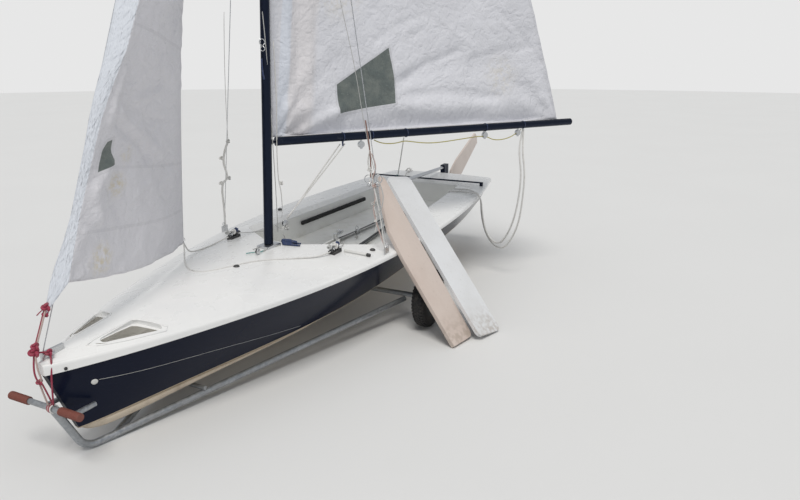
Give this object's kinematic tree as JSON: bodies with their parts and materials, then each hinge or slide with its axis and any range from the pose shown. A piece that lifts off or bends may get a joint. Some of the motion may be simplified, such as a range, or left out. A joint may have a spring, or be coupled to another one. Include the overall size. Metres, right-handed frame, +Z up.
{
  "type": "sailing dinghy on a launching trolley",
  "caption": "Open two-person sailing dinghy with sails set, boom swung out and rudder blade raised, standing on its launching trolley.",
  "frame": {"origin": "on the floor, below the middle of the bounding box", "axes": "+X towards the bow, +Y to port, +Z up"},
  "size_m": [5.4208, 2.2226, 6.3306],
  "materials": {
    "navy_gelcoat": "polished gelcoat, cream below the chine",
    "white_gelcoat": "worn gelcoat",
    "grey_gelcoat": "non-slip gelcoat",
    "dark_alloy": "dark anodised",
    "bright_alloy": "satin",
    "stainless": "satin",
    "galvanised": "dull galvanised",
    "sailcloth": "woven sailcloth",
    "webbing": "webbing",
    "black_plastic": "matte",
    "soft_pad": "foam",
    "red_grip": "ribbed grip",
    "cream_blade": "worn",
    "white_blade": "worn",
    "white_paint": "gloss paint",
    "tyre_rubber": "matte",
    "rim_plastic": "moulded"
  },
  "bodies": {
    "boat": {"hull": "navy_gelcoat", "deck": "white_gelcoat", "cockpit_tub": "grey_gelcoat", "daggerboard_case": "grey_gelcoat", "side_pad_port": "soft_pad", "side_pad_starboard": "soft_pad", "mast": "dark_alloy", "mast_step": "stainless", "jib": "sailcloth", "forestay": "stainless", "chainplates": "stainless", "shroud_port": "stainless", "shroud_starboard": "stainless", "hounds_fitting": "stainless", "stem_fitting": "stainless", "gooseneck": "stainless", "rudder_gudgeons": "stainless", "toe_straps": "webbing", "spreaders": "dark_alloy", "traveller": "dark_alloy", "jib_cleats": "black_plastic", "swivel_cleat": "black_plastic", "trolley_rail_port": "galvanised", "trolley_rail_starboard": "galvanised", "tow_handle": "galvanised", "handle_grips": "red_grip", "axle": "galvanised", "crossbar": "galvanised", "keel_rest": "soft_pad", "cradle_bunks": "soft_pad", "bow_fork": "galvanised", "daggerboard": "cream_blade", "spare_board": "white_blade"},
    "boom_body": {"boom": "dark_alloy", "mainsail": "sailcloth", "boom_blocks": "black_plastic"},
    "rudder": {"rudder_stock": "dark_alloy", "tiller": "bright_alloy", "tiller_extension": "bright_alloy"},
    "blade": {"rudder_blade": "cream_blade"},
    "wheel_port_body": {"tyre_port": "tyre_rubber", "wheel_hub_port": "rim_plastic"},
    "wheel_starboard_body": {"tyre_starboard": "tyre_rubber", "wheel_hub_starboard": "rim_plastic"}
  },
  "joints": [
    {"name": "boom_swing", "type": "hinge", "parent": "boat", "child": "boom_body", "pos_m": [1.02044, -0.23529, 1.26856], "axis": [-0.0631, 0, 0.998], "range_deg": [-25, 85]},
    {"name": "rudder_turn", "type": "hinge", "parent": "boat", "child": "rudder", "pos_m": [-1.72031, -0.23529, 0.63777], "axis": [0.0415, 0, 0.9991], "range_deg": [-40, 40]},
    {"name": "blade_lift", "type": "hinge", "parent": "rudder", "child": "blade", "pos_m": [-1.80559, -0.23529, 0.41612], "axis": [0, 1, 0], "range_deg": [-112, 0]},
    {"name": "wheel_port_spin", "type": "hinge", "parent": "boat", "child": "wheel_port_body", "pos_m": [0.46176, 0.58471, 0.2], "axis": [0, 1, 0], "continuous": true},
    {"name": "wheel_starboard_spin", "type": "hinge", "parent": "boat", "child": "wheel_starboard_body", "pos_m": [0.46176, -1.05529, 0.2], "axis": [0, 1, 0], "continuous": true}
  ]
}
